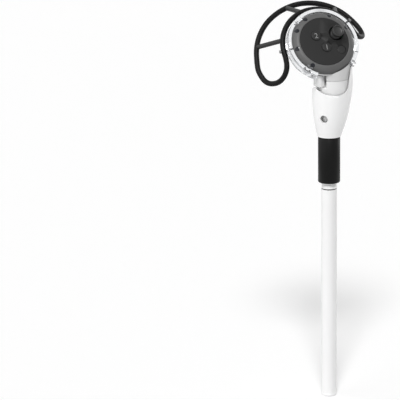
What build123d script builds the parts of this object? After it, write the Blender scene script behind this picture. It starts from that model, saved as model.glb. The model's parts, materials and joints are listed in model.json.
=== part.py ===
"""Tracked motion controller held in a long stick adapter with a black tracking guard.

Origin: centre of the foot face.  +Z runs up the stick, -Y is the thumb (face) side, +X is the right.
Head pieces are built in a head frame: x to the right, y up the face, z out of the face.
"""
import os
from math import cos, degrees, hypot, radians, sin, tan

from build123d import *

# ---------------------------------------------------------------- driving dimensions (mm)
# stick, from the foot up
tube_radius = 8.0
tube_wall = 1.2
tube_length = 218.0
foot_flange = 4.0
foot_rounding = 2.2
foot_inset = 0.15
foot_plug_length = 10.0
slip_gap = 0.05              # play between glued or pressed round pieces
seal_height = 1.0
seal_inset = 0.5
ferrule_length = 6.3
ferrule_inset = 0.3
ferrule_grooves = 3
groove_centre_offset = 0.2
groove_share = 0.3
ferrule_plug_length = 22.0
ferrule_bore = 4.0
stud_radius = 7.0
stud_length = 26.0
stud_end_room = 1.0

# collar and the core that it turns on
collar_radius = 11.3
collar_length = 48.0
collar_end_gap = 0.15
collar_chamfer = 0.6
core_radius = 8.12
core_socket_depth = 5.5
running_gap = 0.08
press_gap = 0.02
core_screw_radius = 1.95
core_screw_length = 14.0
core_screw_head_radius = 3.6
core_screw_head_height = 2.6
driver_slot = (0.5, 2.6, 1.2)  # half width, half length, depth

# holder cup: section radii at heights above its base, and how far it leans at the grip height
cup_sections = (
    (0.0, 12.0), (7.5, 14.0), (18.5, 16.8), (29.0, 18.5), (41.0, 19.8), (53.5, 20.2), (80.0, 20.3),
)
cup_lean = (2.3, -4.0)
grip_height = 53.5
cup_wall = 2.2
cup_floor = 8.0
lamp_hole_radius = 4.0
lamp_hole_height = 21.0
lamp_hole_angle = -132.5
side_hole_radius = 4.0
side_hole_height = 52.5
side_hole_angle = -14.0
front_cut_angle = -105.0
back_cut_angle = 120.0

# controller handle inside the cup
handle_sections = ((11.0, 10.9), (27.0, 13.6), (40.5, 15.7), (53.5, 16.7), (71.5, 17.0), (81.0, 17.0))
handle_wall = 1.8
pad_count = 3
pad_width = 30.0
pad_start = 30.0
pad_low = 28.0
pad_high = 40.0
cup_pad_inset = 2.0
cup_pad_gap = 0.5
battery_radius = 7.25
battery_length = 49.5
battery_nub_radius = 2.6
battery_nub_height = 1.0
battery_axis = (1.3, -2.2)
battery_tube_wall = 1.4
battery_play = 0.3
contact_thickness = 0.5
spring_height = 2.6
spring_wire = 0.4
spring_turns = 2.0
spring_radius = 4.6
door_low = 22.0
door_high = 57.0
door_start = -32.0
door_end = 62.0
door_gap = 0.12
door_gap_angle = 0.5
motor_radius = 2.4
motor_length = 14.0
motor_height = 39.0
motor_side_gap = 0.25
motor_angle = -61.0
lens_radius = 2.6
lens_proud = 0.3
lens_depth = 1.7
lens_emitter_radius = 1.3
lens_emitter_depth = 2.4

# grip button
grip_start = -178.0
grip_end = -146.0
grip_outer_radius = 22.8
grip_inner_radius = 14.5
grip_low = 54.0
grip_high = 67.5
grip_edge_rounding = 4.0
grip_pin_radius = 1.0
grip_pin_angle = -172.0
grip_pin_orbit = 16.2
grip_pin_top = 65.0
grip_pin_root = 2.3
grip_spring_pocket = 2.5
grip_coil_radius = 1.65
grip_coil_pitch = 0.9
grip_coil_turns = 4
pocket_floor = 11.2
pocket_side_gap = 6.0         # degrees between the paddle and the pocket's closed side
pocket_front_gap = 13.0       # degrees of open recess beside the paddle, for the finger
pocket_end_gap = 0.7
pocket_wall_start = 14.0      # degrees of solid wall beside the pocket
pocket_wall_end = 6.0
pocket_wall = 3.0
neck_length = 20.3
seam_gap = 0.25
head_clearance = 1.0

# head: face centre from the stick's axis, tilt of the face, and its layers
face_offset = (-8.0, -9.0)
head_over_battery = 50.2       # how much higher the face's centre is than the cell is long
face_tilt = 32.5
ring_width = 7.5
plate_thickness = 2.2
plate_rounding = 0.5
fit_gap = 0.1
ring_outer_radius = 33.0
ring_depth = 7.0
ring_shoulder = (2.6, 1.95)  # in from the rim, down from the face
ring_lip = 0.25
ring_skirt = 1.4
ledge_width = 1.3
ledge_thickness = 1.4
bowl_depth = 20.2
bowl_wall = 1.8
window_inset = 3.5
window_radius = 2.3
window_angles = (27.5, 69.5, 121.6, 152.5, 190.7, 235.3)
chassis_top = -6.2
chassis_thickness = 1.6
chassis_rim_height = 1.0
chassis_rim_inset = 6.6
chassis_gap = 0.4
board_inset = 9.6
board_thickness = 1.0
flex_thickness = 0.3
# chips: place as shares of the board's radius, and side length
chips = ((-0.56, -0.34, 6.0), (-0.19, -0.68, 4.0), (-0.7, 0.04, 3.0), (0.3, -0.64, 3.0))
chip_height = 0.9
emitter_side = 2.2
emitter_height = 1.0
boss_inset = 9.6
boss_radius = 2.2
boss_angles = (45.0, 172.0, 290.0)
small_screw_radius = 1.0
small_screw_head_radius = 1.9
small_screw_head_height = 0.9
small_screw_length = 7.0
screw_tip_room = 0.5

# buttons on the face
button_radius = 4.8
button_side_gap = 0.2
button_proud = 0.9
button_rounding = 0.45
button_flange = 0.9
button_flange_height = 0.7
button_travel = 0.8
button_stem_radius = 1.6
switch_side = 4.0
switch_height = 0.55
switch_clearance = 0.05
# places on the face, as shares of the face plate's radius
upper_button_share = (-0.31, 0.247)
lower_button_share = (0.039, -0.251)
menu_button_share = (0.631, -0.388)
menu_radius = 4.3
menu_proud = -0.2

# thumbstick
stick_share = (0.525, 0.294)
stick_well_radius = 7.6
stick_rim_width = 0.9
stick_rim_height = 0.5
stick_rim_rounding = 0.3
stick_pivot_depth = 6.5
stick_cap_radius = 6.2
stick_cap_top = 8.0
stick_cap_thickness = 3.2
stick_cap_dish = 0.9
stick_neck_radius = 3.1
stick_shaft_radius = 1.5
stick_press_travel = 0.6
boot_radius = 8.0
boot_wall = 0.8
boot_half_angle = 54.0
gimbal_half = 6.5
gimbal_wall = 1.0
gimbal_top = -5.4
gimbal_bottom = -11.8
yoke_half_length = 4.6
yoke_half_width = 3.6
yoke_half_thickness = 1.0
yoke_window = 2.6
pivot_pin_radius = 0.7
pivot_ball_radius = 2.1
pivot_play = 0.06
shaft_foot = 2.6
shaft_cap_depth = 2.4
cap_rounding = 1.1
cap_dish_radius = 18.0
cap_neck_gap = 0.25
cap_neck_lap = 0.5
cap_bore_room = 0.1

# trigger, behind the neck
trigger_middle = -2.0
trigger_half_width = 8.3
trigger_side_gap = 0.3
cheek_thickness = 2.0
trigger_pivot_back = 11.0
trigger_pivot_height = 74.2
trigger_pin_radius = 1.2
cheek_rear = 5.0
cheek_top = 9.0
cheek_rounding = 4.5
cheek_cut_height = 63.2
cheek_front = 3.0
# side outline of the trigger from its pivot: finger side, tip, inner side, top
trigger_finger_side = ((3.0, 2.4), (7.2, -3.4), (9.4, -9.6), (13.4, -16.2))
trigger_tip = (13.0, -17.4)
trigger_inner_side = ((11.2, -17.0), (6.2, -10.2), (1.8, -5.0), (-2.6, -2.4))
trigger_crown = (-1.0, 3.1)
trigger_coil_radius = 1.9
trigger_coil_pitch = 0.95
trigger_coil_turns = 5
trigger_spring_pocket = (2.6, 6.4)  # radius and length
coil_wire = 0.32

# cradle ring around the head, and the black guard
cradle_gap = 0.3
cradle_wall = 3.2
cradle_front = -3.5
cradle_back = -14.5
cradle_start = -46.0
cradle_end = 250.0
cradle_handle_gap = 0.3
hook_angles = (131.0, 232.0, 345.0)
hook_half_angle = 6.0
hook_reach = 1.7
hook_thickness = 1.5
hook_clearance = (0.4, 0.9)  # in from the ring's rim, and up
guard_tube_radius = 2.75
guard_gap = 0.65
guard_reach = 16.1
guard_lift = 1.4              # how far the outer arc's centre is above the ring's
guard_inner_level = -13.0
guard_outer_level = -38.0
guard_strut_radius = 2.4
guard_swell = 0.07            # how much wider the left lobe's end of the outer arc is
guard_slope = (0.077, -0.023)  # how the outer arc's level follows its place
guard_arc_start = 26.0
guard_arc_step = 23.0
guard_inner_start = 177.0
guard_inner_corners = 7
guard_outer_corners = 8
# lobe corners: place as shares of the outer radius, then the level
left_lobe = (
    (-1.064, -0.259, -42.0), (-0.975, -0.468, -40.0), (-0.8125, -0.539, -30.0), (-0.714, -0.45, -18.5),
)
right_lobe = ((0.821, 0.19, -23.5), (0.957, 0.253, -31.5))
# corners where the lobes join the inner arc: place as shares of the inner radius, then the level
left_join = (-0.952, -0.368, -14.0)
right_join = (0.968, 0.291, -15.0)
strut_angles = (57.0, 110.0, 167.0)
guard_screw_angles = (36.0, 184.0)
guard_screw_radius = 0.9
guard_screw_head_radius = 1.7
guard_screw_head_height = 1.3
guard_screw_stand = 0.35
screw_inset = 0.3
screw_neck = 0.5
cradle_screw_angles = (-41.5, -35.5)
cradle_screw_level = -9.0

# rims of the holder cup, as (across, up) from the cup's middle at its base
front_rim = (
    (18.9, 82.0), (17.2, 71.5), (14.9, 57.0), (12.6, 49.6), (8.6, 46.9), (0.0, 46.0),
    (-9.0, 47.6), (-15.6, 50.9), (-20.0, 54.8), (-26.0, 59.0),
)
back_rim = (
    (-20.2, 84.0), (-18.9, 66.0), (-16.6, 51.0), (-11.5, 46.2), (0.0, 45.3), (9.0, 46.6),
    (16.0, 51.5), (21.0, 55.6), (27.0, 59.5),
)

# ---------------------------------------------------------------- places worked out from the sizes
tube_bottom = foot_flange
tube_top = tube_bottom + tube_length
ferrule_bottom = tube_top + seal_height
ferrule_top = ferrule_bottom + ferrule_length
cup_base = ferrule_top + collar_length
bore_radius = tube_radius - tube_wall
plug_radius = bore_radius - slip_gap
face_centre = (face_offset[0], face_offset[1], cup_base + battery_length + head_over_battery)
plate_radius = ring_outer_radius - ring_width
ledge_radius = plate_radius - ledge_width
window_orbit = ring_outer_radius - window_inset
chassis_rim_radius = ring_outer_radius - chassis_rim_inset
board_radius = ring_outer_radius - board_inset
boss_orbit = ring_outer_radius - boss_inset
upper_button_at = tuple(share * plate_radius for share in upper_button_share)
lower_button_at = tuple(share * plate_radius for share in lower_button_share)
menu_button_at = tuple(share * plate_radius for share in menu_button_share)
stick_at = tuple(share * plate_radius for share in stick_share)
cradle_inner_radius = ring_outer_radius + cradle_gap
cradle_outer_radius = cradle_inner_radius + cradle_wall
guard_inner_radius = cradle_outer_radius + guard_tube_radius + guard_gap
guard_outer_radius = guard_inner_radius + guard_reach
trigger_pivot = (trigger_pivot_back, cup_base + trigger_pivot_height)
cheek_cut_low = cup_base + cheek_cut_height
neck_seam = handle_sections[-1][0] - neck_length
far = 2 * (tube_length + guard_outer_radius)  # past every piece, for cutting shapes
plate_bottom = -plate_thickness
board_top = chassis_top + board_thickness
switch_top = board_top + switch_height
stem_bottom = switch_top + button_travel + switch_clearance
head_frame = Plane(
    origin=face_centre,
    x_dir=(1, 0, 0),
    z_dir=(0, -cos(radians(face_tilt)), sin(radians(face_tilt))),
)
low_align = (Align.CENTER, Align.CENTER, Align.MIN)
full_turn = 360.0
nodes = {}


def disc(radius, low, high, at=(0.0, 0.0)):
    """Upright cylinder from one level to another."""
    return Pos(at[0], at[1], low) * Cylinder(radius, high - low, align=low_align)


def block(x_range, y_range, z_range):
    """Box between two values on each axis."""
    size = [high - low for low, high in (x_range, y_range, z_range)]
    middle = [(high + low) / 2 for low, high in (x_range, y_range, z_range)]
    return Pos(*middle) * Box(*size)


def polar(radius, angle, centre=(0.0, 0.0)):
    """Point at a radius and an angle in degrees."""
    return (centre[0] + radius * cos(radians(angle)), centre[1] + radius * sin(radians(angle)))


def radial_rod(radius, start, end, angle, level, centre=(0.0, 0.0)):
    """Rod that lies level and points away from a vertical axis."""
    place = Pos(centre[0], centre[1], level) * Rot(0, 0, angle) * Pos(start, 0, 0) * Rot(0, 90, 0)
    return place * Cylinder(radius, end - start, align=low_align)


def sector(radius, start, end, low, high, centre=(0.0, 0.0)):
    """Pie slice between two angles and two levels."""
    middle = (start + end) / 2
    outline = Polyline(
        (0, 0), polar(radius, start), polar(radius * 1.2, middle), polar(radius, end), (0, 0)
    )
    return Pos(centre[0], centre[1], low) * extrude(make_face(outline), high - low)


def cup_centre(height):
    """Centre of the leaning cup and handle at a height above the cup's base."""
    share = height / grip_height
    return (cup_lean[0] * share, cup_lean[1] * share)


def radius_at(sections, height):
    """Radius between two listed sections, in proportion."""
    for (low, low_radius), (high, high_radius) in zip(sections, sections[1:]):
        if height <= high:
            return low_radius + (high_radius - low_radius) * (height - low) / (high - low)
    return sections[-1][1]


def leaning_loft(sections, grow=0.0, low=None, high=None):
    """Loft through the level circles, grown by an offset and cut off at two heights."""
    low = sections[0][0] if low is None else low
    high = sections[-1][0] if high is None else high
    heights = [low] + [h for h, _ in sections if low < h < high] + [high]
    rings = []
    for height in heights:
        x, y = cup_centre(height)
        rings.append(Pos(x, y, cup_base + height) * Circle(radius_at(sections, height) + grow))
    return loft(rings)


def coil(radius, pitch, turns, wire):
    """Round-wire coil standing on z = 0."""
    path = Helix(pitch, pitch * turns, radius)
    section = Plane(origin=path @ 0, z_dir=path % 0) * Circle(wire)
    return sweep(section, path=path, is_frenet=True)


def to_head(shape):
    """Move a piece from the head frame to the part's frame."""
    return head_frame.location * shape


# ---------------------------------------------------------------- stick
def make_stick():
    cap = disc(tube_radius - foot_inset, 0, foot_flange)
    cap = fillet(cap.edges().group_by(Axis.Z)[0], foot_rounding)
    nodes["foot_cap"] = cap + disc(plug_radius, foot_flange, foot_flange + foot_plug_length)
    nodes["shaft_tube"] = disc(tube_radius, tube_bottom, tube_top) - disc(bore_radius, tube_bottom, tube_top)
    seal_radius = tube_radius - seal_inset
    seal = disc(seal_radius, tube_top, ferrule_bottom)
    nodes["seal_ring"] = seal - disc(bore_radius, tube_top, ferrule_bottom)
    rib_radius = tube_radius - ferrule_inset
    ferrule = disc(rib_radius, ferrule_bottom, ferrule_top)
    ferrule += disc(plug_radius, tube_top - ferrule_plug_length, ferrule_bottom)
    ferrule += disc(stud_radius, ferrule_top, ferrule_top + stud_length)
    pitch = ferrule_length / (ferrule_grooves + 1)
    for turn in range(1, ferrule_grooves + 1):
        level = ferrule_bottom + turn * pitch
        groove = Pos(0, 0, level) * Torus(rib_radius + groove_centre_offset, pitch * groove_share)
        ferrule -= groove
    ferrule -= disc(ferrule_bore, tube_top - ferrule_plug_length, ferrule_top + stud_length)
    nodes["threaded_ferrule"] = ferrule


def make_collar():
    low = ferrule_top + collar_end_gap
    high = cup_base - collar_end_gap
    collar = disc(collar_radius, low, high)
    collar = chamfer(collar.edges(), collar_chamfer)
    nodes["collar"] = collar - disc(core_radius + running_gap, low, high)
    core_top = cup_base + core_socket_depth
    core = disc(core_radius, ferrule_top, core_top)
    core -= disc(stud_radius + slip_gap, ferrule_top, ferrule_top + stud_length + stud_end_room)
    screw_top = cup_base + cup_floor
    screw_low = screw_top - core_screw_length
    core -= disc(core_screw_radius + slip_gap, screw_low - screw_tip_room, core_top)
    nodes["collar_core"] = core
    screw = disc(core_screw_radius, screw_low, screw_top)
    head = disc(core_screw_head_radius, screw_top, screw_top + core_screw_head_height)
    head_top = screw_top + core_screw_head_height
    half_width, half_length, depth = driver_slot
    slot = block((-half_width, half_width), (-half_length, half_length), (head_top - depth, head_top))
    nodes["core_screw"] = screw + (head - slot)


# ---------------------------------------------------------------- holder cup
def rim_cutter(points, angle):
    """Prism pushed outwards at an angle; its lower outline is the cup's rim on that side."""
    top = far
    outline = Spline(*points)
    sides = Polyline(points[-1], (points[-1][0], top), (points[0][0], top), points[0])
    face = make_face(outline + sides)
    wall = Plane(
        origin=(cup_lean[0], cup_lean[1], cup_base),
        x_dir=(-sin(radians(angle)), cos(radians(angle)), 0),
        z_dir=(cos(radians(angle)), sin(radians(angle)), 0),
    )
    return extrude(wall * face, far)


def bowl_solid(radius, depth, top=0.0):
    """Back of the head: a curve close to half an ellipse, turned about the face normal."""
    low = -ring_depth
    shares = ((1.0, 0.0), (0.92, 0.39), (0.74, 0.67), (0.4, 0.92), (0.0, 1.0))
    curve = Spline(*[(radius * r, low - depth * d) for r, d in shares], tangents=((0, -1), (-1, 0)))
    corners = [curve @ 1, (0, low + top), (radius, low + top)]
    if top > 0:
        corners.append((radius, low))
    sides = Polyline(*corners)
    return revolve(Plane.XZ * make_face(curve + sides), Axis.Z)


def head_keepout(gap):
    """Space that the head takes up, with a gap around it."""
    return bowl_solid(ring_outer_radius + gap, bowl_depth + gap, ring_depth)


def cradle_body(grow=0.0):
    """Ring around the head, open at the bottom where the neck leaves it."""
    low = cradle_back - grow
    high = cradle_front + grow
    ring = disc(cradle_outer_radius + grow, low, high) - disc(cradle_inner_radius - grow, low, high)
    edge = 3 * cradle_outer_radius
    middle = (cradle_end - full_turn + cradle_start) / 2
    half = (cradle_start - cradle_end + full_turn) / 2 - degrees(grow / cradle_outer_radius)
    gap = Polyline((0, 0), polar(edge, middle - half), polar(edge, middle + half), (0, 0))
    return ring - Pos(0, 0, low) * extrude(make_face(gap), high - low)


def wall_hole(radius, angle, height):
    """Round hole through the cup's wall at an angle and a height."""
    surface = radius_at(cup_sections, height)
    start = surface - 3 * cup_wall
    return radial_rod(radius, start, surface + cup_wall, angle, cup_base + height, cup_centre(height))


def make_cup():
    outer = leaning_loft(cup_sections)
    inner = leaning_loft(cup_sections, -cup_wall, cup_floor)
    cup = outer - inner
    cup -= rim_cutter(front_rim, front_cut_angle)
    cup -= rim_cutter(back_rim, back_cut_angle)
    socket_top = cup_base + core_socket_depth
    cup -= disc(core_radius + slip_gap, cup_base, socket_top)
    cup -= disc(core_screw_radius + slip_gap, socket_top, cup_base + cup_floor)
    cup -= wall_hole(lamp_hole_radius, lamp_hole_angle, lamp_hole_height)
    cup -= wall_hole(side_hole_radius, side_hole_angle, side_hole_height)
    cup -= to_head(disc(cradle_outer_radius + slip_gap, -ring_depth - bowl_depth, ring_depth))
    for angle in cradle_screw_angles:
        rod = radial_rod(guard_screw_radius + slip_gap, cradle_inner_radius, far, angle, cradle_screw_level)
        cup -= to_head(rod)
    nodes["holder_cup"] = max(cup.solids(), key=lambda solid: solid.volume)


def make_cup_liners():
    handle = leaning_loft(handle_sections, slip_gap)
    cavity = leaning_loft(cup_sections, -cup_wall - slip_gap, cup_floor)
    between = cavity - handle
    pads = []
    for index in range(pad_count):
        middle = pad_start + full_turn / pad_count * index
        low = cup_base + pad_low
        high = cup_base + pad_high
        wedge = sector(far, middle - pad_width / 2, middle + pad_width / 2, low, high, cup_centre(pad_low))
        pads += (between & wedge).solids()
    nodes["liner_pads"] = Compound(children=pads)
    low = cup_base + cup_floor
    high = cup_base + handle_sections[0][0]
    pad = disc(handle_sections[0][1] - cup_pad_inset, low, high, cup_centre(handle_sections[0][0]))
    nodes["cup_pad"] = pad - disc(core_screw_head_radius + cup_pad_gap, low, high)


# ---------------------------------------------------------------- handle of the controller
def make_handle():
    low = handle_sections[0][0]
    high = handle_sections[-1][0]
    outer = leaning_loft(handle_sections)
    inner = leaning_loft(handle_sections, -handle_wall, low + handle_wall, high)
    body = outer - inner
    tube_low = cup_base + low
    bore_low = tube_low + handle_wall
    battery_top = bore_low + contact_thickness + spring_height + battery_length + battery_nub_height
    bore_top = battery_top + contact_thickness
    tube_radius_out = battery_radius + battery_play + battery_tube_wall
    body += disc(tube_radius_out, bore_low, bore_top + handle_wall, battery_axis) & outer
    grip_centre = cup_centre((grip_low + grip_high) / 2)
    pocket_start = grip_start - pocket_side_gap
    pocket_end = grip_end + pocket_front_gap
    pocket_low = cup_base + grip_low - pocket_end_gap
    pocket_high = cup_base + grip_high + pocket_end_gap
    shell_block = sector(far, grip_start - pocket_wall_start, pocket_end + pocket_wall_end,
                         cup_base + grip_low - pocket_wall, cup_base + grip_high + pocket_wall,
                         grip_centre)
    core = disc(pocket_floor - handle_wall, cup_base, cup_base + high, grip_centre)
    body += (shell_block - core) & outer
    body -= disc(battery_radius + battery_play, bore_low, bore_top, battery_axis)
    pocket = sector(far, pocket_start, pocket_end, pocket_low, pocket_high, grip_centre)
    body -= pocket - disc(pocket_floor, cup_base, cup_base + high, grip_centre)
    pin_at = polar(grip_pin_orbit, grip_pin_angle, grip_centre)
    pin_low = cup_base + grip_low - grip_pin_root
    body -= disc(grip_pin_radius + slip_gap, pin_low, cup_base + grip_pin_top, pin_at)
    body -= to_head(head_keepout(slip_gap))
    body -= to_head(cradle_body(cradle_handle_gap))
    cheek_half = trigger_half_width + trigger_side_gap + cheek_thickness
    body -= block(
        (trigger_middle - cheek_half - slip_gap, trigger_middle + cheek_half + slip_gap),
        (cheek_front, far),
        (cheek_cut_low, far),
    )
    door_centre = cup_centre((door_low + door_high) / 2)
    door_zone = sector(far, door_start, door_end, cup_base + door_low, cup_base + door_high, door_centre)
    skin = outer - leaning_loft(handle_sections, -handle_wall, low, high)
    gap_low = cup_base + door_low - door_gap
    gap_high = cup_base + door_high + door_gap
    gap_start = door_start - door_gap_angle
    gap_end = door_end + door_gap_angle
    body -= sector(far, gap_start, gap_end, gap_low, gap_high, door_centre) & skin
    nodes["battery_door"] = max((door_zone & skin).solids(), key=lambda solid: solid.volume)
    lamp_level = cup_base + lamp_hole_height
    lamp_centre = cup_centre(lamp_hole_height)
    surface = radius_at(handle_sections, lamp_hole_height)
    back = surface - lens_emitter_depth
    seat = surface - lens_depth
    front = surface + lens_proud
    lens_hole_end = front + lens_depth
    body -= radial_rod(lens_radius + slip_gap, back, lens_hole_end, lamp_hole_angle, lamp_level, lamp_centre)
    nodes["handle_lens"] = radial_rod(lens_radius, seat, front, lamp_hole_angle, lamp_level, lamp_centre)
    emitter = radial_rod(lens_emitter_radius, back, seat, lamp_hole_angle, lamp_level, lamp_centre)
    nodes["handle_emitter"] = emitter
    seam = cup_base + neck_seam
    lower = body & block((-far, far), (-far, far), (0, seam - seam_gap))
    upper = body & block((-far, far), (-far, far), (seam, far))
    nodes["handle_body"] = max(lower.solids(), key=lambda solid: solid.volume)
    nodes["neck_shroud"] = max(upper.solids(), key=lambda solid: solid.volume)
    make_battery(bore_low, battery_top)
    shell_inner = radius_at(handle_sections, motor_height) - handle_wall
    motor_at = polar(shell_inner - motor_radius - motor_side_gap, motor_angle, cup_centre(motor_height))
    motor_low = cup_base + motor_height
    nodes["haptic_motor"] = disc(motor_radius, motor_low, motor_low + motor_length, motor_at)


def make_battery(bore_low, battery_top):
    cell_low = bore_low + contact_thickness + spring_height
    cell_high = cell_low + battery_length
    cell = disc(battery_radius, cell_low, cell_high, battery_axis)
    cell = fillet(cell.edges(), 0.6)
    nodes["battery_cell"] = cell + disc(battery_nub_radius, cell_high, battery_top, battery_axis)
    low_plate = disc(battery_radius - 1.0, bore_low, bore_low + contact_thickness, battery_axis)
    high_plate = disc(battery_radius - 1.0, battery_top, battery_top + contact_thickness, battery_axis)
    nodes["battery_contacts"] = Compound(children=[low_plate, high_plate])
    pitch = (spring_height - 2 * spring_wire) / spring_turns
    spring_at = Pos(battery_axis[0], battery_axis[1], bore_low + contact_thickness + spring_wire)
    nodes["battery_spring"] = spring_at * coil(spring_radius, pitch, spring_turns, spring_wire)


def make_grip_button():
    centre = cup_centre((grip_low + grip_high) / 2)
    low = cup_base + grip_low
    high = cup_base + grip_high
    paddle = sector(far, grip_start, grip_end, low, high, centre)
    paddle = paddle & disc(grip_outer_radius, low, high, centre)
    paddle -= disc(grip_inner_radius, low, high, centre)
    outside = grip_outer_radius - grip_edge_rounding
    outer_arcs = []
    for edge in paddle.edges():
        middle = edge.center()
        if hypot(middle.X - centre[0], middle.Y - centre[1]) > outside:
            outer_arcs.append(edge)
    paddle = fillet(outer_arcs, grip_edge_rounding)
    paddle -= to_head(head_keepout(head_clearance))
    pin_at = polar(grip_pin_orbit, grip_pin_angle, centre)
    middle = (low + high) / 2
    paddle -= disc(grip_pin_radius + running_gap, low - 1, high + 1, pin_at)
    paddle -= disc(grip_spring_pocket, middle - grip_spring_pocket, middle + grip_spring_pocket, pin_at)
    nodes["grip_button"] = max(paddle.solids(), key=lambda solid: solid.volume)
    nodes["grip_pin"] = disc(grip_pin_radius, low - grip_pin_root, cup_base + grip_pin_top, pin_at)
    spring_low = middle - grip_coil_pitch * grip_coil_turns / 2
    spring = coil(grip_coil_radius, grip_coil_pitch, grip_coil_turns, coil_wire)
    nodes["grip_spring"] = Pos(pin_at[0], pin_at[1], spring_low) * spring


# ---------------------------------------------------------------- head
def ring_profile():
    """Sloping sensor ring: an arc from the face plate to the outer edge, with a ledge inside."""
    inner = plate_radius + fit_gap
    shoulder_in, shoulder_down = ring_shoulder
    shoulder = (ring_outer_radius - shoulder_in, -shoulder_down)
    arc = ThreePointArc((inner, -ring_lip), shoulder, (ring_outer_radius, -ring_depth))
    ledge_low = plate_bottom - ledge_thickness
    sides = Polyline(
        arc @ 1,
        (ring_outer_radius - ring_skirt, -ring_depth),
        (ring_outer_radius - ring_skirt - 0.4, ledge_low - 0.6),
        (ring_outer_radius - ring_skirt - 1.0, ledge_low),
        (ledge_radius, ledge_low),
        (ledge_radius, plate_bottom),
        (inner, plate_bottom),
        arc @ 0,
    )
    return revolve(Plane.XZ * make_face(arc + sides), Axis.Z)


def make_sensor_ring():
    ring = ring_profile()
    windows = []
    emitters = []
    emitter_low = board_top + flex_thickness
    for angle in window_angles:
        at = polar(window_orbit, angle)
        windows += (ring & disc(window_radius - slip_gap, -far, far, at)).solids()
        place = Pos(at[0], at[1], emitter_low) * Rot(0, 0, angle)
        emitters.append(place * Box(emitter_side, emitter_side, emitter_height, align=low_align))
    for angle in window_angles:
        ring -= disc(window_radius, -far, far, polar(window_orbit, angle))
    nodes["sensor_ring"] = to_head(ring)
    nodes["sensor_windows"] = to_head(Compound(children=windows))
    nodes["ir_emitters"] = to_head(Compound(children=emitters))
    flex_outer = ring_outer_radius - bowl_wall - chassis_gap
    flex = disc(flex_outer, board_top, emitter_low) - disc(chassis_rim_radius, board_top, emitter_low)
    nodes["emitter_flex"] = to_head(flex)


def make_face_plate():
    plate = disc(plate_radius, plate_bottom, 0)
    plate = fillet(plate.edges().group_by(Axis.Z)[-1], plate_rounding)
    rim = disc(stick_well_radius + stick_rim_width, -plate_rounding, stick_rim_height, stick_at)
    rim = fillet(rim.edges().group_by(Axis.Z)[-1], stick_rim_rounding)
    plate += rim
    plate -= disc(stick_well_radius, plate_bottom, far, stick_at)
    for at in (upper_button_at, lower_button_at):
        plate -= disc(button_radius + button_side_gap, plate_bottom, far, at)
    plate -= disc(menu_radius + button_side_gap, plate_bottom, far, menu_button_at)
    nodes["face_plate"] = to_head(plate)


def make_button(name, at, radius, proud):
    flange_top = plate_bottom - slip_gap
    flange_low = flange_top - button_flange_height
    cap = disc(radius, flange_low, proud, at)
    cap = fillet(cap.edges().group_by(Axis.Z)[-1], button_rounding)
    cap += disc(radius + button_flange, flange_low, flange_top, at)
    cap += disc(button_stem_radius, stem_bottom, flange_low, at)
    nodes[name] = to_head(cap)


def make_buttons():
    make_button("upper_button", upper_button_at, button_radius, button_proud)
    make_button("lower_button", lower_button_at, button_radius, button_proud)
    make_button("menu_button", menu_button_at, menu_radius, menu_proud)
    switches = []
    for at in (upper_button_at, lower_button_at, menu_button_at):
        body = Pos(at[0], at[1], board_top) * Box(switch_side, switch_side, switch_height, align=low_align)
        switches.append(body)
    nodes["tact_switches"] = to_head(Compound(children=switches))


def gimbal_hole(low, high, grow):
    half = gimbal_half + grow
    x, y = stick_at
    return block((x - half, x + half), (y - half, y + half), (low, high))


def make_boards():
    board = disc(board_radius, chassis_top, board_top) - gimbal_hole(chassis_top, board_top, fit_gap)
    packages = []
    for x_share, y_share, side in chips:
        place = Pos(x_share * board_radius, y_share * board_radius, board_top)
        packages.append(place * Box(side, side, chip_height, align=low_align))
    nodes["board_chips"] = to_head(Compound(children=packages))
    chassis_low = chassis_top - chassis_thickness
    chassis_radius = ring_outer_radius - bowl_wall - chassis_gap
    chassis = disc(chassis_radius, chassis_low, chassis_top)
    rim = disc(chassis_radius, chassis_top, chassis_top + chassis_rim_height)
    chassis += rim - disc(chassis_rim_radius, chassis_top, chassis_top + chassis_rim_height)
    chassis -= gimbal_hole(chassis_low, chassis_top + chassis_rim_height, fit_gap)
    screws = []
    for angle in boss_angles:
        at = polar(boss_orbit, angle)
        chassis -= disc(small_screw_radius + slip_gap, chassis_low, chassis_top + chassis_rim_height, at)
        board -= disc(small_screw_radius + slip_gap, chassis_top, board_top, at)
        head = disc(small_screw_head_radius, board_top, board_top + small_screw_head_height, at)
        shank = disc(small_screw_radius, board_top - small_screw_length, board_top, at)
        screws.append(head + shank)
    nodes["head_chassis"] = to_head(chassis)
    nodes["head_screws"] = to_head(Compound(children=screws))
    nodes["main_board"] = to_head(board)


def make_head_housing():
    outer = bowl_solid(ring_outer_radius, bowl_depth)
    cavity = bowl_solid(ring_outer_radius - bowl_wall, bowl_depth - bowl_wall)
    mid_wall = bowl_solid(ring_outer_radius - bowl_wall / 2, bowl_depth - bowl_wall / 2)
    shell = outer - cavity
    chassis_low = chassis_top - chassis_thickness
    screw_low = board_top - small_screw_length
    for angle in boss_angles:
        at = polar(boss_orbit, angle)
        shell += disc(boss_radius, -ring_depth - bowl_depth, chassis_low, at) & mid_wall
        shell -= disc(small_screw_radius + slip_gap, screw_low - screw_tip_room, chassis_low, at)
    nodes["head_housing"] = to_head(shell)


# ---------------------------------------------------------------- thumbstick
def on_stick(shape):
    return Pos(stick_at[0], stick_at[1], -stick_pivot_depth) * shape


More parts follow.
